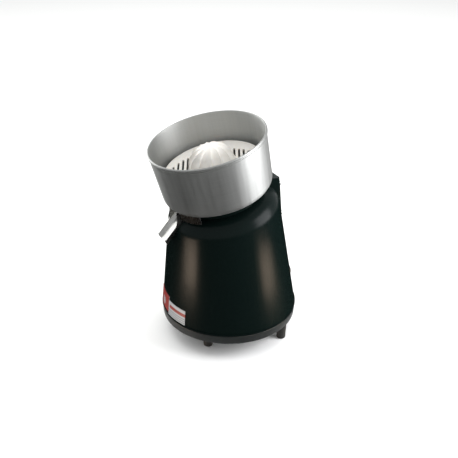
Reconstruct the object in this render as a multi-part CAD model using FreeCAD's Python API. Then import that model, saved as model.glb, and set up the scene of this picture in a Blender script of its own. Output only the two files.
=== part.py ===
import FreeCAD, Part
import math
import os

# Citrus press juicer. Millimetres, +Z up, spout towards -Y.
# Everything is drawn about the middle of the round base, then moved so that
# the origin is on the ground in the middle of the whole footprint.

os.makedirs("parts", exist_ok=True)
V = FreeCAD.Vector
Z = V(0, 0, 1)

middleY = 5.0

# feet and base
footHeight = 26.0
footTopR = 7.6
footTipR = 6.6
frontFoot = (43.0, -57.0)
rearFoot = (76.0, 48.0)
seamZ = 40.0
baseR = 100.0

# body shell: a leaning cone cut by the tilted deck
bodyTopZ = 260.0
bodyTopR = 71.5
bodyTopY = -10.2
wall = 5.0
shoulder = 26.0

# bowl axis: tilted forward, measured from the middle of the bowl's underside
tiltDeg = 13.2
seat = V(0, -16.6, 225.7)
deckH = -12.0
deckThick = 5.0

# bowl
rimR = 83.2
rimH = 80.5
bowlWall = 1.8
bowlFootR = 77.4
bowlShoulderR = 82.0
bossR = 12.0
boreClear = 0.6
chimneyTop = 33.0

# strainer and reamer
strainerR = 70.0
strainerH = 36.0
slotTurn = 62.0
slotPlaces = (23.5, 30.1, 36.8, 43.4, 50.1, 56.7)
slotReach = (44.0, 41.5, 37.5, 33.5, 27.0, 18.0)
slotWide = 2.2
reamerR = 33.0
reamerH = 39.0
reamerTop = 69.5
ribCount = 12

# motor, measured along the bowl axis
shaftR = 6.0
shaftTopR = 5.0
bearingR = 13.0
statorR = 50.0
rotorR = 27.0
airGap = 0.5
bracketTop = -22.0
coreTop = -42.0
coreBottom = -87.0
fanTop = -112.0

# spout
spoutHalf = 13.3
spoutWall = 2.0
spoutTip = (-102.6, 164.6)
spoutRise = 45.6
apronR = 72.0

# rear column and switch
columnHalf = 25.0
columnFace = V(0, 72.3, 198.97)
columnLean = 5.33
rockerTilt = 8.0

axisPlace = FreeCAD.Placement(seat, FreeCAD.Rotation(V(1, 0, 0), tiltDeg))
rearPlace = FreeCAD.Placement(columnFace, FreeCAD.Rotation(V(1, 0, 0), columnLean - 90))


def placed(shape, place):
    moved = shape.copy()
    moved.Placement = place.multiply(moved.Placement)
    return moved


def onAxis(shape):
    return placed(shape, axisPlace)


def roundedWire(points, radii):
    """Closed wire through 3-D points, each corner rounded by its radius."""
    edges = []
    ends = []
    count = len(points)
    for i, corner in enumerate(points):
        radius = radii[i]
        if radius <= 0:
            ends.append((corner, None, corner))
            continue
        a = (points[i - 1] - corner).normalize()
        b = (points[(i + 1) % count] - corner).normalize()
        half = a.getAngle(b) / 2
        back = radius / math.tan(half)
        bisector = (a + b).normalize()
        middle = corner + bisector * (radius / math.sin(half) - radius)
        ends.append((corner + a * back, middle, corner + b * back))
    for i, (start, middle, end) in enumerate(ends):
        if middle is not None:
            edges.append(Part.Arc(start, middle, end).toShape())
        following = ends[(i + 1) % count][0]
        if (following - end).Length > 1e-6:
            edges.append(Part.makeLine(end, following))
    return Part.Wire(edges)


def lathe(outline):
    """Solid turned about Z from (radius, height, corner radius) points."""
    points = [V(p[0], 0, p[1]) for p in outline]
    radii = [p[2] if len(p) > 2 else 0 for p in outline]
    return Part.Face(roundedWire(points, radii)).revolve(V(0, 0, 0), Z, 360)


def ring(inner, outer, low, high):
    body = Part.makeCylinder(outer, high - low, V(0, 0, low))
    if inner <= 0:
        return body
    return body.cut(Part.makeCylinder(inner, high - low + 2, V(0, 0, low - 1)))


def rod(radius, low, high, x=0.0, y=0.0):
    return Part.makeCylinder(radius, high - low, V(x, y, low))


def block(x, y, z, low=V(0, 0, 0)):
    return Part.makeBox(x, y, z, V(low.x - x / 2, low.y - y / 2, low.z))


def prism(outline, half):
    """Solid from a (y, z) outline, spanning both sides of the YZ plane."""
    wire = Part.makePolygon([V(-half, y, z) for y, z in outline + outline[:1]])
    return Part.Face(wire).extrude(V(2 * half, 0, 0))


def around(shape, count, start=0.0):
    """Copies of a shape, evenly turned about Z."""
    copies = []
    for i in range(count):
        copy = shape.copy()
        copy.rotate(V(0, 0, 0), Z, start + 360.0 * i / count)
        copies.append(copy)
    return copies


def export(node, shape):
    moved = shape.copy()
    moved.translate(V(0, middleY, 0))
    moved.exportStep(os.path.join("parts", node + ".step"))


def halfSpace(height):
    """Everything above a height on the bowl axis."""
    return onAxis(Part.makeBox(600, 600, 600, V(-300, -300, height)))


def cone(inset, low):
    """The body's leaning cone, set in by a wall thickness."""
    bottom = Part.Wire(Part.makeCircle(baseR - inset, V(0, 0, low)))
    top = Part.Wire(Part.makeCircle(bodyTopR - inset, V(0, bodyTopY, bodyTopZ)))
    return Part.makeLoft([bottom, top], True, True)


def topEdge(shape, height):
    """Outer edge left where the cone is cut at a height on the bowl axis."""
    normal = axisPlace.Rotation.multVec(Z)
    best = None
    for edge in shape.Edges:
        offsets = [(edge.valueAt(t) - seat).dot(normal) - height
                   for t in (edge.FirstParameter, (edge.FirstParameter + edge.LastParameter) / 2)]
        if max(abs(o) for o in offsets) < 0.05 and (best is None or edge.Length > best.Length):
            best = edge
    return best


# ---- spout trough, as two straight bars of the same rounded section

rise = math.radians(spoutRise)
along = V(0, math.cos(rise), math.sin(rise))
out = V(0, -math.sin(rise), math.cos(rise))
tip = V(0, spoutTip[0], spoutTip[1])


def troughBar(grow, length, start=-12.0):
    """Bar with a rounded underside running up the spout's slope."""
    half = spoutHalf + grow
    base = tip + along * start - out * grow
    corners = [base + V(-half, 0, 0) + out * 70, base + V(-half, 0, 0),
               base + V(half, 0, 0), base + V(half, 0, 0) + out * 70]
    section = Part.Face(roundedWire(corners, [0, 9 + grow, 9 + grow, 0]))
    return section.extrude(along * length)


# ---- body shell

outer = cone(0, seamZ).cut(halfSpace(deckH))
outer = outer.makeFillet(shoulder, [topEdge(outer, deckH)])
inner = cone(wall, seamZ - 1).cut(halfSpace(deckH - deckThick))
inner = inner.makeFillet(shoulder - 3, [topEdge(inner, deckH - deckThick)])
flange = ring(baseR - wall, baseR + 0.6, seamZ, seamZ + 2.5)

columnBack = [(69.24, 235.0), (76.45, 157.7), (79.6, 138.0)]
column = prism([(46, 138), (46, 237.5)] + columnBack, columnHalf)
column = column.makeFillet(4.0, [e for e in column.Edges if abs(e.tangentAt(e.FirstParameter).x) < 0.1
                                 and e.BoundBox.YMin > 68 and e.BoundBox.ZLength > 15])
columnHollow = prism([(40, 160), (40, 200), (50, 221), (50, 231.5), (65.2, 230), (71.9, 160)], columnHalf - 4)

shell = outer.fuse(flange).cut(inner)
shell = shell.fuse(column.cut(inner)).cut(columnHollow)
shell = shell.fuse(troughBar(5.5, 75).common(outer))
seatRing = onAxis(ring(51, 58, deckH - 1, -0.4))
boss = onAxis(ring(shaftR + 1.0, bossR, deckH - deckThick - 4, 12))
shell = shell.fuse([seatRing, boss]).cut(troughBar(1.4, 90))
shell = shell.cut(onAxis(rod(shaftR + 1.0, deckH - 12, 14)))

mountR = 44.0
basePoints = [V(88 * math.cos(math.radians(a)), 88 * math.sin(math.radians(a)), 0) for a in (20, 160, 200, 340)]
footPoints = [V(s * x, y, 0) for x, y in (frontFoot, rearFoot) for s in (-1, 1)]
for p in basePoints:
    shell = shell.fuse(rod(5.5, seamZ, seamZ + 24, p.x, p.y))
    shell = shell.cut(rod(2.0, seamZ - 1, seamZ + 20, p.x, p.y))
shell = shell.cut(onAxis(ring(0, 9.0, 5.5, 13)))
for hole in around(rod(2.1, deckH - 8, deckH - 1.6, mountR, 0), 4, 45):
    shell = shell.cut(onAxis(hole))
shell = shell.cut(placed(block(28, 40, 24, V(0, 0, -12)), rearPlace))
shell = shell.cut(placed(block(40.8, 54.8, 8, V(0, 0, 0)), rearPlace))
glandZ = 62.0
shell = shell.cut(Part.makeCylinder(6.2, 40, V(0, 78, glandZ), V(0, 1, 0)))
coverPoints = [V(x, y, 0) for x in (-17, 17) for y in (-24, 24)]
for p in coverPoints:
    shell = shell.cut(placed(rod(1.6, -5, 1, p.x, p.y), rearPlace))
export("body_shell", shell.removeSplitter())

# ---- rear cover, switch and gland

cover = block(40, 54, 2.0, V(0, 0, 0.05))
cover = cover.makeFillet(3.0, [e for e in cover.Edges if abs(e.tangentAt(0).z) > 0.9])
cover = cover.cut(block(19.4, 27.4, 8, V(0, 0, -2)))
screws = []
for p in coverPoints:
    cover = cover.cut(rod(1.8, -1, 4, p.x, p.y))
    head = rod(3.0, 2.1, 3.9, p.x, p.y).cut(block(0.9, 4.6, 1, V(p.x, p.y, 3.2)))
    screws.append(head.fuse(rod(1.55, -4.5, 2.2, p.x, p.y)))
export("rear_cover", placed(cover, rearPlace))
export("rear_cover_screws", placed(Part.makeCompound(screws), rearPlace))

switch = block(23, 31, 1.8, V(0, 0, 2.1)).fuse(block(19, 27, 24.1, V(0, 0, -22)))
switch = switch.cut(block(15.0, 23.0, 12, V(0, 0, -5)))
for x in (-5, 0, 5):
    switch = switch.fuse(block(0.8, 4.8, 8, V(x, 0, -29)))
export("switch_body", placed(switch, rearPlace))

rockerPivot = V(0, 0, -0.5)
profile = [V(-7.2, -9.8, 2.2), V(-7.2, 0, 1.0), V(-7.2, 9.8, 2.2), V(-7.2, 9.2, -2.2), V(-7.2, -9.2, -2.2)]
profile = [p + V(0, 0, 2.0) for p in profile]
rocker = Part.Face(roundedWire(profile, [0.6, 8, 0.6, 0.8, 0.8])).extrude(V(14.4, 0, 0))
rocker = rocker.fuse(Part.makeCylinder(1.9, 14.4, V(-7.2, 0, -0.5), V(1, 0, 0)))
rocker.rotate(rockerPivot, V(1, 0, 0), rockerTilt)
export("switch_rocker", placed(rocker, rearPlace))

gland = Part.makeCylinder(9.0, 7.5, V(0, 98.3, glandZ), V(0, 1, 0))
gland = gland.makeFillet(1.5, [e for e in gland.Edges if e.BoundBox.YMin > 105])
gland = gland.fuse(Part.makeCylinder(6.0, 16, V(0, 83, glandZ), V(0, 1, 0)))
gland = gland.fuse(Part.makeCylinder(9.0, 4.5, V(0, 83, glandZ), V(0, 1, 0)))
gland = gland.cut(Part.makeCylinder(3.6, 40, V(0, 75, glandZ), V(0, 1, 0)))
export("cable_gland", gland)

# ---- label, a thin curved plate on the cone: a taller badge beside a lower panel

sheet = cone(-0.7, seamZ).cut(cone(-0.05, seamZ))


def sheetPiece(start, end, low, high):
    """Part of the label sheet between two turns about Z and two heights."""
    turns = (start, (start + end) / 2, end)
    fan = [V(0, 0, low)] + [V(160 * math.cos(math.radians(a)), 160 * math.sin(math.radians(a)), low)
                            for a in turns]
    wedge = Part.Face(Part.makePolygon(fan + fan[:1])).extrude(V(0, 0, high - low))
    return sheet.common(wedge)


label = sheetPiece(-113, -89.7, 46, 71).fuse(sheetPiece(-89.7, -67, 43, 65.5))
export("label_plate", label.removeSplitter())

# ---- base ring, base plate, feet and screws

skirt = lathe([(86, 26), (99.2, 26, 0.8), (100.3, 38.6, 0.8), (98, 39.2), (98, 40), (86, 40)])
plate = ring(0, 85.7, 26, 29)
for slot in around(block(26, 4, 8, V(52, 0, 24)), 12, 15):
    plate = plate.cut(slot)
screws = []
for p in basePoints:
    plate = plate.fuse(ring(0, 7.0, 23.4, 26).translate(V(p.x, p.y, 0)).common(ring(0, 93, 23, 26)))
    plate = plate.cut(rod(2.2, 20, 30, p.x, p.y))
    skirt = skirt.cut(rod(2.2, 20, 45, p.x, p.y))
    head = rod(3.6, 21.2, 23.3, p.x, p.y).cut(block(1.0, 5.4, 0.9, V(p.x, p.y, 21.1)))
    screws.append(head.fuse(rod(1.95, 23.2, 56, p.x, p.y)))
footScrews = []
footNames = ("foot_front_left", "foot_front_right", "foot_rear_left", "foot_rear_right")
for name, p in zip(footNames, footPoints):
    plate = plate.cut(rod(2.2, 20, 32, p.x, p.y))
    skirt = skirt.cut(rod(2.2, 20, 38, p.x, p.y))
    foot = lathe([(0, 0), (footTipR, 0, 1.6), (footTopR, footHeight), (0, footHeight)])
    foot = foot.cut(rod(3.8, -1, 11.3)).cut(rod(2.2, 8, 30))
    foot.translate(p)
    export(name, foot)
    screw = rod(3.5, 9.0, 11.2).cut(block(1.0, 5.2, 0.9, V(0, 0, 8.9)))
    screw = screw.cut(rod(3.5, 11.2, 12)).fuse(rod(2.0, 11, 33))
    screw.translate(p)
    footScrews.append(screw)
export("base_ring", skirt)
export("base_plate", plate.removeSplitter())
export("base_screws", Part.makeCompound(screws))
export("foot_screws", Part.makeCompound(footScrews))

# ---- motor

topBracket = lathe([(statorR + 2, bracketTop, 2), (statorR + 2, coreTop), (44, coreTop), (44, -26.5),
                    (16.5, -26.5), (16.5, -35), (10, -35), (10, -34), (bearingR, -34), (bearingR, -26),
                    (9, -26), (9, bracketTop)])
bottomBracket = lathe([(statorR + 2, coreBottom), (statorR + 2, -107, 2), (10, -107), (10, -103),
                       (bearingR, -103), (bearingR, -95), (10, -95), (10, -94), (16.5, -94),
                       (16.5, -102.5), (44, -102.5), (44, coreBottom)])
for hole, pocket in zip(around(rod(2.1, -60, -20, mountR, 0), 4, 45),
                        around(rod(4.1, -31, -26.5, mountR, 0), 4, 45)):
    topBracket = topBracket.cut(hole).cut(pocket)
for window in around(block(14, 16, 7, V(49, 0, -100)), 6):
    bottomBracket = bottomBracket.cut(window)
ties = around(rod(1.9, -111, -24, 47, 0), 4)
tieHoles = around(rod(2.0, -112, -23.8, 47, 0), 4)
stator = ring(rotorR + airGap, statorR, coreBottom, coreTop)
teeth = 12
for slot in around(block(11, 5.5, 60, V(37.5, 0, -95)), teeth, 15):
    stator = stator.cut(slot)
for hole in tieHoles:
    stator = stator.cut(hole)
    topBracket = topBracket.cut(hole)
    bottomBracket = bottomBracket.cut(hole)
export("motor_top_bracket", onAxis(topBracket))
export("motor_bottom_bracket", onAxis(bottomBracket))
export("motor_stator", onAxis(stator))
nuts = [t.fuse(n) for t, n in zip(ties, around(ring(0, 3.6, -110.5, -107, ).translate(V(47, 0, 0)), 4))]
export("motor_tie_rods", onAxis(Part.makeCompound(nuts)))

upperTurns = lathe([(31.5, coreTop), (43, coreTop), (42.5, -30, 4), (33, -30, 4)])
lowerTurns = lathe([(31.5, coreBottom), (33, -99, 4), (42.5, -99, 4), (43, coreBottom)])
bars = around(block(9.5, 4.6, coreTop - coreBottom, V(37.3, 0, coreBottom)), teeth, 15)
export("stator_windings", onAxis(upperTurns.fuse([lowerTurns] + bars).removeSplitter()))


def bearing(low, high):
    """Two races and a ring of balls, joined by a thin cage."""
    races = ring(10.9, bearingR, low, high).fuse(ring(shaftR + 0.03, 8.0, low, high))
    middle = (low + high) / 2
    cage = ring(7.6, 11.3, middle - 0.7, middle + 0.7)
    balls = [Part.makeSphere(1.9, V(9.45 * math.cos(a), 9.45 * math.sin(a), middle))
             for a in [math.tau * i / 9 for i in range(9)]]
    return races.fuse([cage] + balls)


export("upper_bearing", onAxis(bearing(-34, -26)))
export("lower_bearing", onAxis(bearing(-103, -95)))

pads = around(ring(2.4, 7.0, bracketTop, deckH - deckThick).translate(V(mountR, 0, 0)), 4, 45)
export("damper_pads", onAxis(Part.makeCompound(pads)))
mountScrew = rod(3.6, -29.2, -26.6, mountR, 0).cut(block(1.0, 5, 1, V(mountR, 0, -29.3)))
mountScrew = mountScrew.fuse(rod(1.95, -27, deckH - 2, mountR, 0))
export("motor_mount_screws", onAxis(Part.makeCompound(around(mountScrew, 4, 45))))
export("shaft_seal", onAxis(ring(shaftR + 0.04, 9.0, 5.6, 11)))

# ---- rotor: shaft, core, fan and drive pin

shaft = rod(shaftR, -124, 14).fuse(rod(shaftTopR, 14, 56)).cut(Part.makeCylinder(1.6, 30, V(-15, 0, 44), V(1, 0, 0)))
shaft = shaft.makeChamfer(1.0, [e for e in shaft.Edges if e.BoundBox.ZMin > 55.5])
export("motor_shaft", onAxis(shaft))
core = ring(shaftR, rotorR, coreBottom + 1, coreTop - 1)
endRings = [ring(18, 26, coreTop - 1, coreTop + 4), ring(18, 26, coreBottom - 4, coreBottom + 1)]
export("rotor_core", onAxis(core.fuse(endRings)))
export("drive_pin", onAxis(Part.makeCylinder(1.6, 14.4, V(-7.2, 0, 44), V(1, 0, 0))))
fan = ring(shaftR, 12, fanTop - 11, fanTop).fuse(ring(12, 38, fanTop - 2, fanTop))
blade = block(27, 1.6, 9.2, V(24.5, 0, fanTop - 11))
blade.rotate(V(12, 0, 0), Z, 22)
export("cooling_fan", onAxis(fan.fuse(around(blade, 9)).removeSplitter()))

# ---- electrical parts on the base plate

capacitor = Part.makeCylinder(14.5, 56, V(-28, 52, 47.6), V(1, 0, 0))
capacitor = capacitor.makeFillet(2.0, capacitor.Edges[:1] + capacitor.Edges[2:3])
for y in (46, 58):
    capacitor = capacitor.fuse(block(7, 1.0, 6.3, V(0, 0, 0)).copy().translate(V(31, y, 47.6)))
export("capacitor", capacitor)
clip = Part.makeCylinder(16.1, 12, V(-6, 52, 47.6), V(1, 0, 0))
clip = clip.cut(Part.makeCylinder(14.55, 14, V(-7, 52, 47.6), V(1, 0, 0)))
clip = clip.cut(block(20, 60, 30, V(0, 52, 20)))
for side in (-1, 1):
    clip = clip.fuse(block(12, 1.5, 23, V(0, 52 + side * 15.35, 29)))
    clip = clip.fuse(block(12, 9, 1.5, V(0, 52 + side * 19, 29)))
export("capacitor_clip", clip.cut(Part.makeCylinder(14.55, 14, V(-7, 52, 47.6), V(1, 0, 0))))
terminals = block(46, 16, 9, V(-30, 5, 29)).fuse(block(46, 8, 6, V(-30, 5, 38)))
for i in range(5):
    terminals = terminals.cut(rod(2.6, 40, 50, -48 + 9 * i, 5))
export("terminal_block", terminals)
export("terminal_screws", Part.makeCompound([rod(2.4, 40.05, 42.5, -48 + 9 * i, 5).cut(
    block(0.8, 4, 0.8, V(-48 + 9 * i, 5, 41.9))) for i in range(5)]))

# ---- bowl and spout

chimneyR = bossR + boreClear
bowl = lathe([
    (chimneyR, 0), (bowlFootR, 0, 6.5), (bowlShoulderR, 75.8), (rimR, 76.8, 0.8), (rimR, rimH, 1.4),
    (rimR - 2.6, rimH, 1.0), (bowlShoulderR - bowlWall, 75.5), (bowlFootR - bowlWall, bowlWall, 5.0),
    (chimneyR + bowlWall, bowlWall, 1.5), (chimneyR + bowlWall, 14.5), (10, 17), (10, chimneyTop, 0.6),
    (8, chimneyTop, 0.4), (8, 15.4), (chimneyR, 12.9)])
outlet = Part.makeBox(18, 20, 10, V(-9, -66, -4))
outlet = outlet.makeFillet(5.0, [e for e in outlet.Edges if abs(e.tangentAt(0).z) > 0.9])
export("bowl", onAxis(bowl.cut(outlet)))

sideView = [spoutTip, (-107.0, 171.8), (-86.2, 193.0), (-84.2, 199.0), (-85.8, 213.0), (-55, 219.0), (-55, 212.0)]
spout = troughBar(0, 90).common(prism([tuple(p) for p in sideView], 40))
apron = ring(apronR - 2.4, apronR, -11.5, 0)
sector = Part.Face(Part.makePolygon([V(0, 0, -20), V(-110, -126, -20), V(0, -190, -20), V(110, -126, -20),
                                     V(0, 0, -20)])).extrude(V(0, 0, 40))
spout = spout.fuse(onAxis(apron.common(sector))).cut(troughBar(-spoutWall, 75))
spout = spout.cut(halfSpace(-0.02))
rivets = []
for a in (-32, -21, 21, 32):
    x = 66 * math.sin(math.radians(a))
    y = -66 * math.cos(math.radians(a))
    lug = ring(0, 4.2, -2.0, -0.02).translate(V(x, y, 0))
    rivets.append(rod(2.6, -3.4, -2.0, x, y))
    spout = spout.fuse(onAxis(lug))
export("spout", spout.removeSplitter())
export("spout_rivets", onAxis(Part.makeCompound(rivets)))

# ---- strainer

strainer = lathe([
    (10.6, 17.8), (13.2, 17.8), (13.4, strainerH - 2.2, 3), (40, strainerH - 2.2, 8), (66, strainerH - 0.4),
    (strainerR, strainerH - 0.4, 0.8), (strainerR, strainerH + 2.6, 0.8), (67.6, strainerH + 2.6, 0.8),
    (66.2, strainerH + 1.8), (40, strainerH, 8), (10.6, strainerH)])
for side in (-1, 1):
    for place, reach in zip(slotPlaces, slotReach):
        for end in (-1, 1):
            slot = Part.makeBox(slotWide, reach - 2, 20, V(side * place - slotWide / 2, 2 if end > 0 else -reach, 28))
            slot = slot.makeFillet(slotWide / 2 - 0.05, [e for e in slot.Edges if abs(e.tangentAt(0).z) > 0.9])
            slot.rotate(V(0, 0, 0), Z, slotTurn)
            strainer = strainer.cut(slot)
export("strainer", onAxis(strainer))

# ---- reamer and its metal hub


def reamerRing(height, radius, depth, turn):
    """One fluted ring of the reamer: ribs at full radius, valleys set in."""
    points = []
    steps = ribCount * 4
    for i in range(steps):
        angle = math.tau * i / steps + math.radians(turn)
        inset = (0.0, 0.62, 1.0, 0.62)[i % 4] * depth
        points.append(V((radius - inset) * math.cos(angle), (radius - inset) * math.sin(angle), height))
    curve = Part.BSplineCurve()
    curve.interpolate(points, PeriodicFlag=True)
    return Part.Wire(curve.toShape())


rings = []
levels = 8
for i in range(levels):
    t = i / (levels - 1)
    angle = t * math.radians(84)
    radius = reamerR * math.cos(angle) ** 0.8
    height = reamerH + 3 + (reamerTop - reamerH - 3) * math.sin(angle) / math.sin(math.radians(84))
    rings.append(reamerRing(height, radius, 0.085 * radius, 16 * t))
reamer = Part.makeLoft(rings, True, False).fuse(ring(0, reamerR + 0.4, reamerH, reamerH + 3.2))
reamer = reamer.cut(rod(8.0, reamerH - 1, 59)).cut(rod(26, reamerH - 1, reamerH + 1.5))
export("reamer", onAxis(reamer))
hub = ring(shaftTopR + 0.3, 8.0, reamerH, 58.9).fuse(ring(0, 8.0, 57, 58.9))
hub = hub.cut(block(20, 3.8, 8, V(0, 0, reamerH - 1)))
export("reamer_hub", onAxis(hub))
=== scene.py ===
import bpy
import bmesh
import math
from mathutils import Matrix, Vector


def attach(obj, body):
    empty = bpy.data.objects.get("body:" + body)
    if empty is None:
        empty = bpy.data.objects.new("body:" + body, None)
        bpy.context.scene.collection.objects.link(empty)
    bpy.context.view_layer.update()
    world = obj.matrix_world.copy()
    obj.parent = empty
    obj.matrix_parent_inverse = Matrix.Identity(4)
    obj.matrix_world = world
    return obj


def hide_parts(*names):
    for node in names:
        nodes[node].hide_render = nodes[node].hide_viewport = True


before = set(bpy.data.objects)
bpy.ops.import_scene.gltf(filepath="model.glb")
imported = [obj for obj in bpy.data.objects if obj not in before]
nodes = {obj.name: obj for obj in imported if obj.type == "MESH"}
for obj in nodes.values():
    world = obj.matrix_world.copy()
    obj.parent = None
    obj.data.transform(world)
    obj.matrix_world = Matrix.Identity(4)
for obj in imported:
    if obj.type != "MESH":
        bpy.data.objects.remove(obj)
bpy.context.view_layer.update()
print("frame loaded:", len(nodes), "nodes")

mm = 0.001
# the bowl, strainer and reamer stand on one tilted axis
bowlSeat = Vector((0, -11.6, 225.7))
bowlTilt = math.radians(13.2)
bowlPlace = Matrix.Translation(bowlSeat) @ Matrix.Rotation(bowlTilt, 4, "X")


def hexToLinear(code, alpha=1.0):
    channels = [int(code[i:i + 2], 16) / 255 for i in (1, 3, 5)]
    return tuple(c / 12.92 if c <= 0.04045 else ((c + 0.055) / 1.055) ** 2.4 for c in channels) + (alpha,)


def perMetre(size):
    # texture scale that gives features of this many millimetres
    return 1000.0 / size


def addNode(tree, kind, values=None, links=None):
    node = tree.nodes.new("ShaderNode" + kind)
    for key, value in (values or {}).items():
        if isinstance(key, int) or key in node.inputs:
            node.inputs[key].default_value = value
        else:
            setattr(node, key, value)
    for key, socket in (links or {}).items():
        tree.links.new(socket, node.inputs[key])
    return node


def startMaterial(name, color, roughness, metallic=0.0, **sockets):
    material = bpy.data.materials.new(name)
    material.use_nodes = True
    tree = material.node_tree
    shader = tree.nodes["Principled BSDF"]
    shader.inputs["Base Color"].default_value = hexToLinear(color)
    shader.inputs["Roughness"].default_value = roughness
    shader.inputs["Metallic"].default_value = metallic
    for key, value in sockets.items():
        shader.inputs[key].default_value = value
    return material, tree, shader


def roundCorner(bm, vert, radius, segments):
    # rounds one corner of a wire outline to a true radius
    a, b = [(e.other_vert(vert).co - vert.co).normalized() for e in vert.link_edges]
    half = a.angle(b) / 2
    reach = radius / math.tan(half)
    bmesh.ops.bevel(bm, geom=[vert], offset=reach, offset_type="OFFSET", segments=segments,
                    profile=0.5, affect="VERTICES", clamp_overlap=True, material=-1)


def drawOutline(points, place, closed=True, corners=4):
    # a wire outline; points are (first, second) or (first, second, corner radius), in millimetres
    bm = bmesh.new()
    verts = [bm.verts.new(place(point[0], point[1])) for point in points]
    for a, b in zip(verts, verts[1:]):
        bm.edges.new((a, b))
    if closed:
        bm.edges.new((verts[-1], verts[0]))
    for vert, point in zip(verts, points):
        if len(point) == 3:
            roundCorner(bm, vert, point[2], corners)
    return bm


def upright(radius, height):
    return (radius, 0, height)


def spinOutline(points, steps, closed=True, corners=4):
    bm = drawOutline(points, upright, closed, corners)
    bmesh.ops.spin(bm, geom=bm.verts[:] + bm.edges[:], cent=(0, 0, 0), axis=(0, 0, 1),
                   angle=2 * math.pi, steps=steps, use_merge=True)
    bmesh.ops.remove_doubles(bm, verts=bm.verts[:], dist=0.0005)
    bmesh.ops.recalc_face_normals(bm, faces=bm.faces[:])
    return bm


def unroll(bm, radius):
    # own UV map of a turned piece: round the axis, then along its outline, in metres
    layer = bm.loops.layers.uv.new("turned")
    for face in bm.faces:
        middle = face.calc_center_median()
        here = math.atan2(middle.y, middle.x)
        for loop in face.loops:
            co = loop.vert.co
            angle = math.atan2(co.y, co.x) if co.xy.length > 0.01 else here
            angle += 2 * math.pi * round((here - angle) / (2 * math.pi))
            loop[layer].uv = (angle * radius * mm, (co.z - co.xy.length) * mm)


def smoothByAngle(bm, degrees):
    limit = math.radians(degrees)
    for face in bm.faces:
        face.smooth = True
    for edge in bm.edges:
        edge.smooth = not (len(edge.link_faces) == 2 and edge.calc_face_angle(0) > limit)


def finishPiece(name, bm, material, place=Matrix.Identity(4), sharp=35):
    # drawn in millimetres, brought to metres in the common frame
    smoothByAngle(bm, sharp)
    bmesh.ops.transform(bm, matrix=Matrix.Scale(mm, 4) @ place, verts=bm.verts[:])
    mesh = bpy.data.meshes.new(name)
    bm.to_mesh(mesh)
    bm.free()
    piece = bpy.data.objects.new(name, mesh)
    bpy.context.scene.collection.objects.link(piece)
    piece.data.materials.append(material)
    return piece


def joinWith(bm, other, how="UNION"):
    # a boolean of two closed shapes, both used up; returns the result
    objects = []
    for label, part in (("keep", bm), ("other", other)):
        mesh = bpy.data.meshes.new(label)
        part.to_mesh(mesh)
        part.free()
        objects.append(bpy.data.objects.new(label, mesh))
        bpy.context.scene.collection.objects.link(objects[-1])
    boolean = objects[0].modifiers.new("join", "BOOLEAN")
    boolean.operation = how
    boolean.solver = "EXACT"
    boolean.object = objects[1]
    bpy.context.view_layer.update()
    graph = bpy.context.evaluated_depsgraph_get()
    result = bmesh.new()
    result.from_mesh(objects[0].evaluated_get(graph).to_mesh())
    for item in objects:
        mesh = item.data
        bpy.data.objects.remove(item)
        bpy.data.meshes.remove(mesh)
    return result


def block(size, centre, corner=0.0, direction=2, segments=4):
    # a box with the edges along one direction rounded
    bm = bmesh.new()
    bmesh.ops.create_cube(bm, size=1)
    bmesh.ops.scale(bm, vec=size, verts=bm.verts[:])
    if corner:
        edges = [e for e in bm.edges
                 if abs((e.verts[0].co - e.verts[1].co).normalized()[direction]) > 0.99]
        bmesh.ops.bevel(bm, geom=edges, offset=corner, offset_type="OFFSET", segments=segments,
                        profile=0.5, affect="EDGES", material=-1)
    bmesh.ops.translate(bm, vec=centre, verts=bm.verts[:])
    return bm


# Spun aluminium, turned over a former and left satin: fine rings round the axis,
# so a highlight is drawn out up and down the wall
spunLook = {"color": "#bfc0bd", "shade": "#b3b4b1", "roughness": 0.56, "stretch": 0.6,
            "ringSpacing": 0.9, "polishWidth": 5.0}


def spunAluminium(name, look):
    material, tree, shader = startMaterial(name, look["color"], look["roughness"], 1.0,
                                           Anisotropic=look["stretch"])
    shader.inputs["Anisotropic Rotation"].default_value = 0.25
    turned = addNode(tree, "UVMap", {"uv_map": "turned"})
    tangent = addNode(tree, "Tangent", {"direction_type": "UV_MAP", "uv_map": "turned"})
    tree.links.new(tangent.outputs["Tangent"], shader.inputs["Tangent"])
    # rings: squeezed along the outline, drawn out round the axis
    ringCoords = addNode(tree, "Mapping", {"Scale": (0.02, 1, 1)}, {"Vector": turned.outputs["UV"]})
    rings = addNode(tree, "TexNoise", {"Scale": perMetre(look["ringSpacing"]), "Detail": 3.0},
                    {"Vector": ringCoords.outputs["Vector"]})
    # hand-polished streaks that run up the wall
    streakCoords = addNode(tree, "Mapping", {"Scale": (1, 0.04, 1)}, {"Vector": turned.outputs["UV"]})
    streaks = addNode(tree, "TexNoise", {"Scale": perMetre(look["polishWidth"]), "Detail": 2.0},
                      {"Vector": streakCoords.outputs["Vector"]})
    both = addNode(tree, "Math", {"operation": "ADD"},
                   {0: rings.outputs["Fac"], 1: streaks.outputs["Fac"]})
    tone = addNode(tree, "MapRange", {"From Min": 0.7, "From Max": 1.3}, {"Value": both.outputs["Value"]})
    color = addNode(tree, "MixRGB", {"Color1": hexToLinear(look["shade"]),
                                     "Color2": hexToLinear(look["color"])},
                    {"Fac": tone.outputs["Result"]})
    tree.links.new(color.outputs["Color"], shader.inputs["Base Color"])
    gloss = addNode(tree, "MapRange", {"From Min": 0.7, "From Max": 1.3,
                                       "To Min": look["roughness"] - 0.05,
                                       "To Max": look["roughness"] + 0.05},
                    {"Value": both.outputs["Value"]})
    tree.links.new(gloss.outputs["Result"], shader.inputs["Roughness"])
    bump = addNode(tree, "Bump", {"Strength": 0.25, "Distance": 0.00005},
                   {"Height": rings.outputs["Fac"]})
    tree.links.new(bump.outputs["Normal"], shader.inputs["Normal"])
    return material


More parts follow.
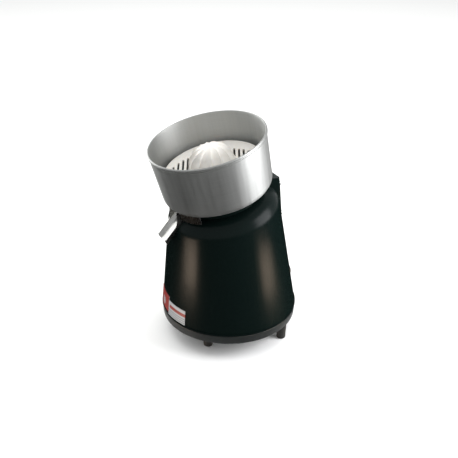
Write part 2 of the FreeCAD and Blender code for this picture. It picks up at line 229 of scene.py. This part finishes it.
# Cast aluminium, tumbled and polished: mid grey, with faint pits and fine scratches
castLook = {"color": "#b3b3b0", "shade": "#8f8f8b", "roughness": 0.27, "pit": 1.6, "scratch": 0.6}


def castAluminium(name, look):
    material, tree, shader = startMaterial(name, look["color"], look["roughness"], 1.0)
    place = addNode(tree, "TexCoord")
    pits = addNode(tree, "TexNoise", {"Scale": perMetre(look["pit"]), "Detail": 4.0},
                   {"Vector": place.outputs["Object"]})
    clouds = addNode(tree, "TexNoise", {"Scale": perMetre(9.0), "Detail": 2.0},
                     {"Vector": place.outputs["Object"]})
    scratchCoords = addNode(tree, "Mapping", {"Scale": (1, 0.05, 0.05), "Rotation": (0.5, 0.2, 0.1)},
                            {"Vector": place.outputs["Object"]})
    scratches = addNode(tree, "TexNoise", {"Scale": perMetre(look["scratch"]), "Detail": 2.0},
                        {"Vector": scratchCoords.outputs["Vector"]})
    color = addNode(tree, "MixRGB", {"Color1": hexToLinear(look["shade"]),
                                     "Color2": hexToLinear(look["color"])},
                    {"Fac": clouds.outputs["Fac"]})
    tree.links.new(color.outputs["Color"], shader.inputs["Base Color"])
    gloss = addNode(tree, "MapRange", {"From Min": 0.3, "From Max": 0.7,
                                       "To Min": look["roughness"] - 0.04,
                                       "To Max": look["roughness"] + 0.05},
                    {"Value": scratches.outputs["Fac"]})
    tree.links.new(gloss.outputs["Result"], shader.inputs["Roughness"])
    height = addNode(tree, "Math", {"operation": "MULTIPLY_ADD", 1: 0.5},
                     {0: scratches.outputs["Fac"], 2: pits.outputs["Fac"]})
    bump = addNode(tree, "Bump", {"Strength": 0.12, "Distance": 0.00004},
                   {"Height": height.outputs["Value"]})
    tree.links.new(bump.outputs["Normal"], shader.inputs["Normal"])
    return material


# Gloss enamel sprayed on the body: near black with a green cast, a faint orange peel
paintLook = {"color": "#060e0d", "light": "#0a1513", "roughness": 0.26, "peel": 2.2, "fleck": 0.7,
             "specular": 0.085}


def glossEnamel(name, look):
    material, tree, shader = startMaterial(name, look["color"], look["roughness"])
    shader.inputs["Specular IOR Level"].default_value = look["specular"]
    place = addNode(tree, "TexCoord")
    peel = addNode(tree, "TexNoise", {"Scale": perMetre(look["peel"]), "Detail": 1.0},
                   {"Vector": place.outputs["Object"]})
    flecks = addNode(tree, "TexNoise", {"Scale": perMetre(look["fleck"]), "Detail": 2.0},
                     {"Vector": place.outputs["Object"]})
    color = addNode(tree, "MixRGB", {"Color1": hexToLinear(look["color"]),
                                     "Color2": hexToLinear(look["light"])},
                    {"Fac": flecks.outputs["Fac"]})
    tree.links.new(color.outputs["Color"], shader.inputs["Base Color"])
    gloss = addNode(tree, "MapRange", {"From Min": 0.2, "From Max": 0.8,
                                       "To Min": look["roughness"] - 0.04,
                                       "To Max": look["roughness"] + 0.04},
                    {"Value": flecks.outputs["Fac"]})
    tree.links.new(gloss.outputs["Result"], shader.inputs["Roughness"])
    bump = addNode(tree, "Bump", {"Strength": 0.2, "Distance": 0.00006},
                   {"Height": peel.outputs["Fac"]})
    tree.links.new(bump.outputs["Normal"], shader.inputs["Normal"])
    return material


# Moulded, cast, drawn and ground finishes that differ only in tone and grain
plainLooks = {
    # ABS, spark-eroded mould: fine matt grain
    "skirt_plastic": {"name": "mouldedAbs", "color": "#121616", "light": "#1f2423", "roughness": 0.4,
                      "grain": 0.9, "depth": 0.05, "specular": 0.3},
    "foot_rubber": {"name": "mouldedRubber", "color": "#121413", "light": "#1f2120", "roughness": 0.68,
                    "grain": 0.7, "depth": 0.08, "specular": 0.3},
    "switch_plastic": {"name": "mouldedNylon", "color": "#0f1111", "light": "#1a1c1c", "roughness": 0.38,
                       "grain": 0.5, "depth": 0.03, "specular": 0.4},
    "rocker_plastic": {"name": "polishedPolycarbonate", "color": "#141616", "light": "#1d2020",
                       "roughness": 0.25, "grain": 0.8, "depth": 0.02, "specular": 0.5},
    "gland_plastic": {"name": "mouldedPolyamide", "color": "#151717", "light": "#222424",
                      "roughness": 0.5, "grain": 0.5, "depth": 0.05, "specular": 0.4},
    "terminal_plastic": {"name": "mouldedMelamine", "color": "#cfc9ba", "light": "#ddd8cb",
                         "roughness": 0.45, "grain": 0.8, "depth": 0.04, "specular": 0.4},
    "fan_plastic": {"name": "glassFilledNylon", "color": "#23282b", "light": "#32383b",
                    "roughness": 0.55, "grain": 0.6, "depth": 0.06, "specular": 0.4},
    "capacitor_case": {"name": "extrudedPolypropylene", "color": "#d8d9d5", "light": "#e6e6e2",
                       "roughness": 0.35, "grain": 1.2, "depth": 0.02, "specular": 0.5},
    "damper_rubber": {"name": "softRubber", "color": "#1b1b1a", "light": "#2a2a28", "roughness": 0.75,
                      "grain": 0.6, "depth": 0.08, "specular": 0.3},
    "seal_rubber": {"name": "nitrileRubber", "color": "#1a1614", "light": "#28231f", "roughness": 0.6,
                    "grain": 0.5, "depth": 0.05, "specular": 0.35},
    # metals: zinc-plated, ground, cast and drawn
    "screw_steel": {"name": "zincPlatedSteel", "color": "#b4b6b4", "light": "#c9cac6",
                    "roughness": 0.32, "grain": 0.8, "depth": 0.03, "metallic": 1.0},
    "core_steel": {"name": "laminatedSteel", "color": "#5f6163", "light": "#75777a", "roughness": 0.45,
                   "grain": 0.5, "depth": 0.1, "metallic": 1.0, "flat": True},
    "copper_wire": {"name": "enamelledCopper", "color": "#9a4f22", "light": "#c06f35",
                    "roughness": 0.35, "grain": 0.7, "depth": 0.15, "metallic": 1.0, "flat": True},
    "motor_casting": {"name": "dieCastAluminium", "color": "#a3a5a5", "light": "#b9bbba",
                      "roughness": 0.5, "grain": 1.5, "depth": 0.12, "metallic": 1.0},
    "bearing_steel": {"name": "groundBearingSteel", "color": "#b9bbbb", "light": "#cccdcc",
                      "roughness": 0.2, "grain": 0.5, "depth": 0.02, "metallic": 1.0},
    "shaft_steel": {"name": "turnedSteel", "color": "#b0b1af", "light": "#c4c5c2", "roughness": 0.25,
                    "grain": 0.4, "depth": 0.05, "metallic": 1.0, "flat": True},
    "rivet_metal": {"name": "drawnAluminiumRivet", "color": "#b5b6b3", "light": "#cacac6",
                    "roughness": 0.3, "grain": 0.8, "depth": 0.03, "metallic": 1.0},
    "hub_steel": {"name": "stainlessSteel", "color": "#a8a8a4", "light": "#bcbcb8", "roughness": 0.28,
                  "grain": 0.5, "depth": 0.04, "metallic": 1.0, "flat": True},
}


def grainedMaterial(look):
    material, tree, shader = startMaterial(look["name"], look["color"], look["roughness"],
                                           look.get("metallic", 0.0))
    if "specular" in look:
        shader.inputs["Specular IOR Level"].default_value = look["specular"]
    place = addNode(tree, "TexCoord")
    # a laminated, wound or turned piece has its grain drawn out flat
    stretch = (0.08, 0.08, 1) if look.get("flat") else (1, 1, 1)
    coords = addNode(tree, "Mapping", {"Scale": stretch}, {"Vector": place.outputs["Object"]})
    grain = addNode(tree, "TexNoise", {"Scale": perMetre(look["grain"]), "Detail": 2.0},
                    {"Vector": coords.outputs["Vector"]})
    clouds = addNode(tree, "TexNoise", {"Scale": perMetre(18.0), "Detail": 3.0},
                     {"Vector": place.outputs["Object"]})
    mixed = addNode(tree, "Math", {"operation": "MULTIPLY_ADD", 1: 0.45},
                    {0: grain.outputs["Fac"], 2: clouds.outputs["Fac"]})
    tone = addNode(tree, "MapRange", {"From Min": 0.5, "From Max": 1.0}, {"Value": mixed.outputs["Value"]})
    # convex corners and edges are painted a little lighter: handling wear together with a painted edge
    # highlight
    edges = addNode(tree, "NewGeometry")
    wearAndEdgeSheen = addNode(tree, "MapRange", {"From Min": 0.52, "From Max": 0.62, "To Max": 0.5},
                   {"Value": edges.outputs["Pointiness"]})
    share = addNode(tree, "Math", {"operation": "ADD", "use_clamp": True},
                    {0: tone.outputs["Result"], 1: wearAndEdgeSheen.outputs["Result"]})
    # the base colour takes the random tone plus the painted edge highlight on convex edges
    color = addNode(tree, "MixRGB", {"Color1": hexToLinear(look["color"]),
                                     "Color2": hexToLinear(look["light"])},
                    {"Fac": share.outputs["Value"]})
    tree.links.new(color.outputs["Color"], shader.inputs["Base Color"])
    gloss = addNode(tree, "MapRange", {"From Min": 0.35, "From Max": 0.65,
                                       "To Min": look["roughness"] - 0.06,
                                       "To Max": look["roughness"] + 0.06},
                    {"Value": grain.outputs["Fac"]})
    tree.links.new(gloss.outputs["Result"], shader.inputs["Roughness"])
    bump = addNode(tree, "Bump", {"Strength": 0.5, "Distance": look["depth"] * mm},
                   {"Height": grain.outputs["Fac"]})
    tree.links.new(bump.outputs["Normal"], shader.inputs["Normal"])
    return material


# Acetal, injection moulded and polished: warm white, light sinks in a little
acetalLook = {"color": "#e9e6e0", "shade": "#dedad2", "roughness": 0.34, "flow": 14.0}


def mouldedAcetal(name, look):
    material, tree, shader = startMaterial(name, look["color"], look["roughness"])
    shader.inputs["Subsurface Weight"].default_value = 0.25
    shader.inputs["Subsurface Radius"].default_value = (0.0012, 0.0010, 0.0008)
    shader.inputs["Subsurface Scale"].default_value = 1.0
    place = addNode(tree, "TexCoord")
    flow = addNode(tree, "TexNoise", {"Scale": perMetre(look["flow"]), "Detail": 3.0, "Distortion": 0.6},
                   {"Vector": place.outputs["Object"]})
    grain = addNode(tree, "TexNoise", {"Scale": perMetre(0.8), "Detail": 1.0},
                    {"Vector": place.outputs["Object"]})
    color = addNode(tree, "MixRGB", {"Color1": hexToLinear(look["color"]),
                                     "Color2": hexToLinear(look["shade"])},
                    {"Fac": flow.outputs["Fac"]})
    tree.links.new(color.outputs["Color"], shader.inputs["Base Color"])
    gloss = addNode(tree, "MapRange", {"From Min": 0.3, "From Max": 0.7,
                                       "To Min": look["roughness"] - 0.05,
                                       "To Max": look["roughness"] + 0.08},
                    {"Value": flow.outputs["Fac"]})
    tree.links.new(gloss.outputs["Result"], shader.inputs["Roughness"])
    bump = addNode(tree, "Bump", {"Strength": 0.2, "Distance": 0.00003},
                   {"Height": grain.outputs["Fac"]})
    tree.links.new(bump.outputs["Normal"], shader.inputs["Normal"])
    return material


# Screen-printed foil: a red block with a plain citrus slice, a pale panel with a red band
# over thin grey bars; all heights and places in millimetres
labelLook = {"red": "#8e1a17", "white": "#a9abad", "grey": "#6d7174", "roughness": 0.4, "panelFrom": 0.5,
             "slice": (-19.0, 56.0), "rind": 5.6, "flesh": 4.4, "segments": 8,
             "bandMiddle": 58.0, "bandHalf": 2.6, "bars": 3.2, "barsTop": 54.2, "bandFrom": 3.5}


def printedFoil(name, look):
    material, tree, shader = startMaterial(name, look["white"], look["roughness"])
    place = addNode(tree, "TexCoord")
    coords = addNode(tree, "Mapping", {"Scale": (1000, 1000, 1000)}, {"Vector": place.outputs["Object"]})
    axes = addNode(tree, "SeparateXYZ", None, {"Vector": coords.outputs["Vector"]})
    # slice: a rind ring round a disc of flesh cut into segments
    centred = addNode(tree, "Mapping", {"Location": (-look["slice"][0], 0, -look["slice"][1]),
                                        "Scale": (1, 0, 1)}, {"Vector": coords.outputs["Vector"]})
    sides = addNode(tree, "SeparateXYZ", None, {"Vector": centred.outputs["Vector"]})
    far = addNode(tree, "VectorMath", {"operation": "LENGTH"}, {0: centred.outputs["Vector"]})
    rind = addNode(tree, "Math", {"operation": "COMPARE", 1: look["rind"], 2: 0.6},
                   {0: far.outputs["Value"]})
    flesh = addNode(tree, "Math", {"operation": "LESS_THAN", 1: look["flesh"]}, {0: far.outputs["Value"]})
    turn = addNode(tree, "Math", {"operation": "ARCTAN2"},
                   {0: sides.outputs["Z"], 1: sides.outputs["X"]})
    often = addNode(tree, "Math", {"operation": "MULTIPLY", 1: look["segments"]},
                    {0: turn.outputs["Value"]})
    wave = addNode(tree, "Math", {"operation": "SINE"}, {0: often.outputs["Value"]})
    wedge = addNode(tree, "Math", {"operation": "GREATER_THAN", 1: -0.8}, {0: wave.outputs["Value"]})
    cutFlesh = addNode(tree, "Math", {"operation": "MULTIPLY"},
                       {0: flesh.outputs["Value"], 1: wedge.outputs["Value"]})
    fruit = addNode(tree, "Math", {"operation": "MAXIMUM"},
                    {0: rind.outputs["Value"], 1: cutFlesh.outputs["Value"]})
    # panel: a red band over thin grey bars
    inPanel = addNode(tree, "Math", {"operation": "GREATER_THAN", 1: look["panelFrom"]},
                      {0: axes.outputs["X"]})
    level = addNode(tree, "Math", {"operation": "COMPARE", 1: look["bandMiddle"], 2: look["bandHalf"]},
                    {0: axes.outputs["Z"]})
    begun = addNode(tree, "Math", {"operation": "GREATER_THAN", 1: look["bandFrom"]},
                    {0: axes.outputs["X"]})
    band = addNode(tree, "Math", {"operation": "MULTIPLY"},
                   {0: level.outputs["Value"], 1: begun.outputs["Value"]})
    steps = addNode(tree, "Math", {"operation": "DIVIDE", 1: look["bars"]}, {0: axes.outputs["Z"]})
    phase = addNode(tree, "Math", {"operation": "FRACT"}, {0: steps.outputs["Value"]})
    line = addNode(tree, "Math", {"operation": "LESS_THAN", 1: 0.34}, {0: phase.outputs["Value"]})
    below = addNode(tree, "Math", {"operation": "LESS_THAN", 1: look["barsTop"]}, {0: axes.outputs["Z"]})
    bars = addNode(tree, "Math", {"operation": "MULTIPLY"},
                   {0: line.outputs["Value"], 1: below.outputs["Value"]})
    wear = addNode(tree, "TexNoise", {"Scale": perMetre(3.0), "Detail": 3.0},
                   {"Vector": place.outputs["Object"]})
    panel = addNode(tree, "MixRGB", {"Color1": hexToLinear(look["white"]),
                                     "Color2": hexToLinear(look["grey"])}, {"Fac": bars.outputs["Value"]})
    printed = addNode(tree, "MixRGB", {"Color2": hexToLinear(look["red"])},
                      {"Fac": band.outputs["Value"], "Color1": panel.outputs["Color"]})
    badge = addNode(tree, "MixRGB", {"Color1": hexToLinear(look["red"]),
                                     "Color2": hexToLinear(look["white"])}, {"Fac": fruit.outputs["Value"]})
    whole = addNode(tree, "MixRGB", None, {"Fac": inPanel.outputs["Value"],
                                           "Color1": badge.outputs["Color"],
                                           "Color2": printed.outputs["Color"]})
    faded = addNode(tree, "MapRange", {"From Min": 0.3, "From Max": 0.7, "To Max": 0.12},
                    {"Value": wear.outputs["Fac"]})
    wearAndEdgeSheen = addNode(tree, "MixRGB", {"Color2": hexToLinear("#6f6a65")},
                   {"Fac": faded.outputs["Result"], "Color1": whole.outputs["Color"]})
    tree.links.new(wearAndEdgeSheen.outputs["Color"], shader.inputs["Base Color"])
    bump = addNode(tree, "Bump", {"Strength": 0.1, "Distance": 0.00003}, {"Height": wear.outputs["Fac"]})
    tree.links.new(bump.outputs["Normal"], shader.inputs["Normal"])
    return material


# Smooth paper backdrop, very pale
floorLook = {"color": "#f4f4f2", "shade": "#efefed", "roughness": 0.9}


def backdropPaper(name, look):
    material, tree, shader = startMaterial(name, look["color"], look["roughness"])
    shader.inputs["Specular IOR Level"].default_value = 0.0
    place = addNode(tree, "TexCoord")
    fibres = addNode(tree, "TexNoise", {"Scale": perMetre(2.5), "Detail": 3.0},
                     {"Vector": place.outputs["Object"]})
    color = addNode(tree, "MixRGB", {"Color1": hexToLinear(look["color"]),
                                     "Color2": hexToLinear(look["shade"])},
                    {"Fac": fibres.outputs["Fac"]})
    tree.links.new(color.outputs["Color"], shader.inputs["Base Color"])
    return material


finishes = {slot: grainedMaterial(look) for slot, look in plainLooks.items()}
finishes["body_paint"] = glossEnamel("sprayedGlossEnamel", paintLook)
finishes["cover_paint"] = glossEnamel("sprayedCoverEnamel", dict(paintLook, light="#101c1a"))
finishes["bowl_metal"] = spunAluminium("spunAluminium", spunLook)
finishes["spout_metal"] = castAluminium("polishedCastAluminium", castLook)
finishes["strainer_plastic"] = mouldedAcetal("mouldedAcetalStrainer", acetalLook)
finishes["reamer_plastic"] = mouldedAcetal("mouldedAcetalReamer", dict(acetalLook, roughness=0.3))
finishes["label_print"] = printedFoil("printedFoil", labelLook)
print("materials made:", len(finishes))

# every CAD node takes the finish of its own slot
for name, node in nodes.items():
    for slot in node.material_slots:
        key = slot.material.name.split(".")[0]
        slot.material = finishes[key]


bowlShape = {
    "outline": [(12.6, 0), (77.4, 0, 11.0), (81.9, 74.7), (81.1, 75.2), (81.2, 76.3), (83.2, 76.7, 0.3),
                (83.2, 78.3), (82.5, 78.6), (83.2, 78.9), (83.2, 80.5, 1.5), (80.6, 80.5, 1.0),
                (80.2, 75.5), (75.6, 1.8, 9.2), (14.4, 1.8, 1.5), (14.4, 14.5), (10, 17),
                (10, 33, 0.6), (8, 33, 0.4), (8, 15.4), (12.6, 12.9)],
    "steps": 160, "unrolledAt": 80.0, "sharp": 40,
    "outlet": {"size": (18, 20, 8), "centre": (0, -56, 1), "corner": 5.0},
}


def makeBowl(shape):
    bm = spinOutline(shape["outline"], shape["steps"])
    unroll(bm, shape["unrolledAt"])
    outlet = shape["outlet"]
    bm = joinWith(bm, block(outlet["size"], outlet["centre"], outlet["corner"]), "DIFFERENCE")
    return finishPiece("bowl_spun", bm, finishes["bowl_metal"], bowlPlace, shape["sharp"])


bowl = makeBowl(bowlShape)
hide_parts("bowl")
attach(bowl, "bowl_set")
print("bowl made")


reamerShape = {"ribs": 12, "facets": 12, "radius": 33.0, "foot": 42.2, "rise": 27.3, "levels": 22,
               "valley": 0.16, "twist": 22.0, "skirt": 33.4, "bore": 8.0, "boreTop": 59.0}


def ribProfile(angle, depth, ribs):
    # a sharp crest with a hollow flute on each side
    return 1 - depth * abs(math.sin(ribs * angle / 2)) ** 0.8


def makeReamer(shape):
    around = shape["ribs"] * shape["facets"]
    skirt = shape["skirt"]
    bm = spinOutline([(0.01, shape["boreTop"]), (shape["bore"], shape["boreTop"]), (shape["bore"], 40.5),
                      (26, 40.5), (26, 39), (skirt, 39, 0.6), (skirt, 41.6, 0.5), (33.0, shape["foot"])],
                     around, closed=False)
    rim = [e for e in bm.edges if e.is_boundary and e.verts[0].co.xy.length > 20]
    for level in range(1, shape["levels"] + 1):
        part = level / shape["levels"]
        slope = math.radians(86) * part ** 0.85
        radius = shape["radius"] * math.cos(slope) ** 0.8
        height = shape["foot"] + shape["rise"] * math.sin(slope) ** 1.06
        depth = shape["valley"] * min(1, part * 3)
        turned = math.radians(shape["twist"]) * part ** 1.5
        made = bmesh.ops.extrude_edge_only(bm, edges=rim)["geom"]
        ring = [v for v in made if isinstance(v, bmesh.types.BMVert)]
        rim = [e for e in made if isinstance(e, bmesh.types.BMEdge)]
        for vert in ring:
            angle = math.atan2(vert.co.y, vert.co.x)
            start = angle if level == 1 else angle - turnedBefore
            reach = radius * ribProfile(start, depth, shape["ribs"])
            angle = start + turned
            vert.co = (reach * math.cos(angle), reach * math.sin(angle), height)
        turnedBefore = turned
    bmesh.ops.contextual_create(bm, geom=rim)
    bmesh.ops.recalc_face_normals(bm, faces=bm.faces[:])
    return finishPiece("reamer_cone", bm, finishes["reamer_plastic"], bowlPlace, 40)


reamer = makeReamer(reamerShape)
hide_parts("reamer")
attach(reamer, "reamer_set")
print("reamer made")


strainerShape = {
    "outline": [(10.6, 17.8), (13.2, 17.8), (13.4, 33.8, 3.0), (40, 33.8, 8.0), (66, 35.6),
                (70, 35.6, 0.8), (70, 38.6, 0.8), (67.6, 38.6, 0.8), (66.2, 37.8), (40, 36, 8.0),
                (10.6, 36)],
    "steps": 144, "slotTurn": 62.0, "slotWide": 3.2, "bridge": 2.0,
    "endFlat": 0.05, "depth": 14, "middle": 35,
    "slots": {23.5: 44.0, 30.1: 41.5, 36.8: 37.5, 43.4: 33.5, 50.1: 27.0, 56.7: 18.0},
}


def makeStrainer(shape):
    # round-ended juice slots on both sides of the hub, each row split by a bridge
    bm = spinOutline(shape["outline"], shape["steps"])
    wide = shape["slotWide"]
    turn = Matrix.Rotation(math.radians(shape["slotTurn"]), 3, "Z")
    for place, reach in shape["slots"].items():
        for side, end in ((-1, -1), (-1, 1), (1, -1), (1, 1)):
            middle = (side * place, end * (shape["bridge"] + reach) / 2, shape["middle"])
            slot = block((wide, reach - shape["bridge"], shape["depth"]), middle,
                         wide / 2 - shape["endFlat"])
            bmesh.ops.rotate(slot, cent=(0, 0, 0), matrix=turn, verts=slot.verts[:])
            bm = joinWith(bm, slot, "DIFFERENCE")
    return finishPiece("strainer_plate", bm, finishes["strainer_plastic"], bowlPlace, 30)


strainer = makeStrainer(strainerShape)
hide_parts("strainer")
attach(strainer, "strainer_set")
print("strainer made")


# the chute is drawn along its own slope: (up the slope, out of the slope, corner radius)
spoutShape = {
    "half": 13.3, "keel": 8.5, "wall": 1.9, "slope": 45.6, "tip": (-97.6, 164.6),
    "facets": 10, "underGap": 0.02,
    "side": [(0, 0.4, 0.4), (1.7, 6.6, 4.5), (30.5, 7.6, 14.0), (44.0, 21.5, 6.0), (60, 24), (80, 10),
             (75, -0.5), (60, 0)],
    "apron": [(69.6, -11.5), (72, -11.5, 0.6), (72, -0.02), (69.6, -0.02)], "reach": 41.0,
    "lugs": {"place": 66.0, "radius": 4.2, "turns": (-32, -21, 21, 32)}, "edge": 0.5,
}


def apronBar(points, reach):
    # a curved bar centred on the front of the bowl
    bm = drawOutline(points, upright)
    bmesh.ops.contextual_create(bm, geom=bm.edges[:])
    bmesh.ops.rotate(bm, cent=(0, 0, 0), matrix=Matrix.Rotation(math.radians(-90 - reach), 3, "Z"),
                     verts=bm.verts[:])
    bmesh.ops.spin(bm, geom=bm.verts[:] + bm.edges[:] + bm.faces[:], cent=(0, 0, 0), axis=(0, 0, 1),
                   steps=40, angle=math.radians(2 * reach))
    bmesh.ops.recalc_face_normals(bm, faces=bm.faces[:])
    return bm


def makeSpout(shape):
    slope = Matrix.Translation((0, shape["tip"][0], shape["tip"][1]))
    slope = bowlPlace.inverted() @ slope @ Matrix.Rotation(math.radians(shape["slope"]), 4, "X")
    half = shape["half"]
    bm = drawOutline(shape["side"], lambda along, out: (-half, along, out), corners=shape["facets"])
    side = bmesh.ops.contextual_create(bm, geom=bm.edges[:])["faces"]
    made = bmesh.ops.extrude_face_region(bm, geom=side)["geom"]
    far = [v for v in made if isinstance(v, bmesh.types.BMVert)]
    bmesh.ops.translate(bm, vec=(2 * half, 0, 0), verts=far)
    keel = [e for e in bm.edges if abs(e.verts[0].co.y - e.verts[1].co.y) > 20
            and max(v.co.z for v in e.verts) < 1]
    bmesh.ops.bevel(bm, geom=keel, offset=shape["keel"], offset_type="OFFSET", segments=shape["facets"],
                    profile=0.5, affect="EDGES", material=-1)
    bmesh.ops.recalc_face_normals(bm, faces=bm.faces[:])
    wall = shape["wall"]
    channel = block((2 * (half - wall), 130, 60), (0, 25, wall + 30), shape["keel"] - wall, 1,
                    shape["facets"])
    for part in (bm, channel):
        bmesh.ops.transform(part, matrix=slope, verts=part.verts[:])
    bm = joinWith(bm, apronBar(shape["apron"], shape["reach"]))
    bm = joinWith(bm, channel, "DIFFERENCE")
    # nothing of it rises past the underside of the bowl
    above = block((400, 400, 200), (0, 0, 100 - shape["underGap"]))
    bm = joinWith(bm, above, "DIFFERENCE")
    lugs = shape["lugs"]
    for turn in lugs["turns"]:
        lug = bmesh.new()
        spot = Matrix.Rotation(math.radians(turn), 4, "Z") @ Matrix.Translation((0, -lugs["place"], -1.03))
        bmesh.ops.create_cone(lug, cap_ends=True, segments=40, radius1=lugs["radius"],
                              radius2=lugs["radius"], depth=1.98, matrix=spot)
        bm = joinWith(bm, lug)
    spout = finishPiece("spout_chute", bm, finishes["spout_metal"], bowlPlace, 35)
    # cast edges are never sharp
    soft = spout.modifiers.new("softEdges", "BEVEL")
    soft.width = shape["edge"] * mm
    soft.segments = 2
    soft.limit_method = "ANGLE"
    soft.angle_limit = math.radians(45)
    return spout


spout = makeSpout(spoutShape)
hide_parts("spout")
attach(spout, "bowl_set")
print("spout made")


cameraSet = {"azimuth": 62.0, "elevation": 27.15, "distance": 1.0685, "target": (0, 0.005, 0.170),
             "lens": 58.09, "shift": -0.016, "roll": 0.18}


def makeFloor():
    bm = bmesh.new()
    bmesh.ops.create_grid(bm, x_segments=24, y_segments=24, size=7000)
    floor = finishPiece("floor", bm, backdropPaper("backdropPaper", floorLook))


# a black ring card on the floor nearly all round, seen only in reflections, keeps the paint dark;
# without it the paint reflects the pale floor. Its ends are degrees from the camera
flagShape = {"inner": 125, "outer": 1700, "from": -150, "to": 170, "height": 0.6}


def makeFlag(shape, facing):
    bm = bmesh.new()
    start = math.radians(facing + shape["from"] - 90)
    ends = [bm.verts.new((r * math.cos(start), r * math.sin(start), shape["height"]))
            for r in (shape["inner"], shape["outer"])]
    edge = bm.edges.new(ends)
    bmesh.ops.spin(bm, geom=ends + [edge], cent=(0, 0, 0), axis=(0, 0, 1), steps=48,
                   angle=math.radians(shape["to"] - shape["from"]))
    material, tree, shader = startMaterial("blackFlock", "#0a0a0a", 1.0)
    shader.inputs["Specular IOR Level"].default_value = 0.0
    flag = finishPiece("flag_card", bm, material)
    flag.visible_camera = False
    flag.visible_diffuse = False
    flag.visible_shadow = False


def makeCamera(setup):
    azimuth = math.radians(setup["azimuth"])
    elevation = math.radians(setup["elevation"])
    back = Vector((math.sin(azimuth) * math.cos(elevation), -math.cos(azimuth) * math.cos(elevation),
                   math.sin(elevation)))
    data = bpy.data.cameras.new("studioCamera")
    data.lens = setup["lens"]
    data.sensor_width = 36.0
    data.shift_y = setup["shift"]
    data.clip_start = 0.01
    camera = bpy.data.objects.new("studioCamera", data)
    camera.location = Vector(setup["target"]) + back * setup["distance"]
    turn = (-back).to_track_quat("-Z", "Y").to_matrix().to_4x4()
    camera.rotation_euler = (turn @ Matrix.Rotation(math.radians(setup["roll"]), 4, "Z")).to_euler()
    bpy.context.scene.collection.objects.link(camera)
    bpy.context.scene.camera = camera


# each softbox: degrees to the right of the camera, distance from the middle, height of its centre,
# width and height, what height it looks at, power in watts and tint
softboxes = {
    "overhead": {"turn": 180, "distance": 0.8, "height": 2.2, "size": (3.2, 3.2), "aim": 0.0,
                 "power": 50, "tint": "#ffffff", "glossy": False},
    "rightPanel": {"turn": 78, "distance": 0.62, "height": 0.40, "size": (0.42, 0.5), "aim": 0.25,
                   "power": 6.0, "tint": "#fbfbff"},
    "leftPanel": {"turn": -132, "distance": 0.8, "height": 0.40, "size": (0.7, 0.6), "aim": 0.25,
                  "power": 4.0, "tint": "#ffffff"},
    "lowLeft": {"turn": -65, "distance": 0.33, "height": 0.045, "size": (0.20, 0.085), "aim": 0.045,
                "power": 0.26, "tint": "#ffe3ca", "spread": 60, "diffuse": False},
    "lowRight": {"turn": 74, "distance": 0.33, "height": 0.045, "size": (0.20, 0.085), "aim": 0.045,
                 "power": 0.16, "tint": "#ffe3ca", "spread": 60, "diffuse": False},
}


def makeSoftboxes(boxes, facing):
    for name, box in boxes.items():
        data = bpy.data.lights.new(name, "AREA")
        data.shape = "RECTANGLE"
        data.size, data.size_y = box["size"]
        data.energy = box["power"]
        data.spread = math.radians(box.get("spread", 180))
        data.color = hexToLinear(box["tint"])[:3]
        lamp = bpy.data.objects.new(name, data)
        angle = math.radians(facing + box["turn"])
        lamp.location = (math.sin(angle) * box["distance"], -math.cos(angle) * box["distance"],
                         box["height"])
        aim = Vector((0, 0, box["aim"])) - lamp.location
        lamp.rotation_euler = aim.to_track_quat("-Z", "Y").to_euler()
        lamp.visible_camera = False
        lamp.visible_glossy = box.get("glossy", True)
        lamp.visible_diffuse = box.get("diffuse", True)
        bpy.context.scene.collection.objects.link(lamp)


worldLook = {"color": "#f2f3f5", "strength": 0.85}


def makeWorld(look):
    world = bpy.data.worlds.new("studioRoom")
    world.use_nodes = True
    background = world.node_tree.nodes["Background"]
    background.inputs["Color"].default_value = hexToLinear(look["color"])
    background.inputs["Strength"].default_value = look["strength"]
    bpy.context.scene.world = world


makeFloor()
makeFlag(flagShape, cameraSet["azimuth"])
makeCamera(cameraSet)
makeSoftboxes(softboxes, cameraSet["azimuth"])
makeWorld(worldLook)
bpy.context.scene.view_settings.view_transform = "Standard"
print("studio made")
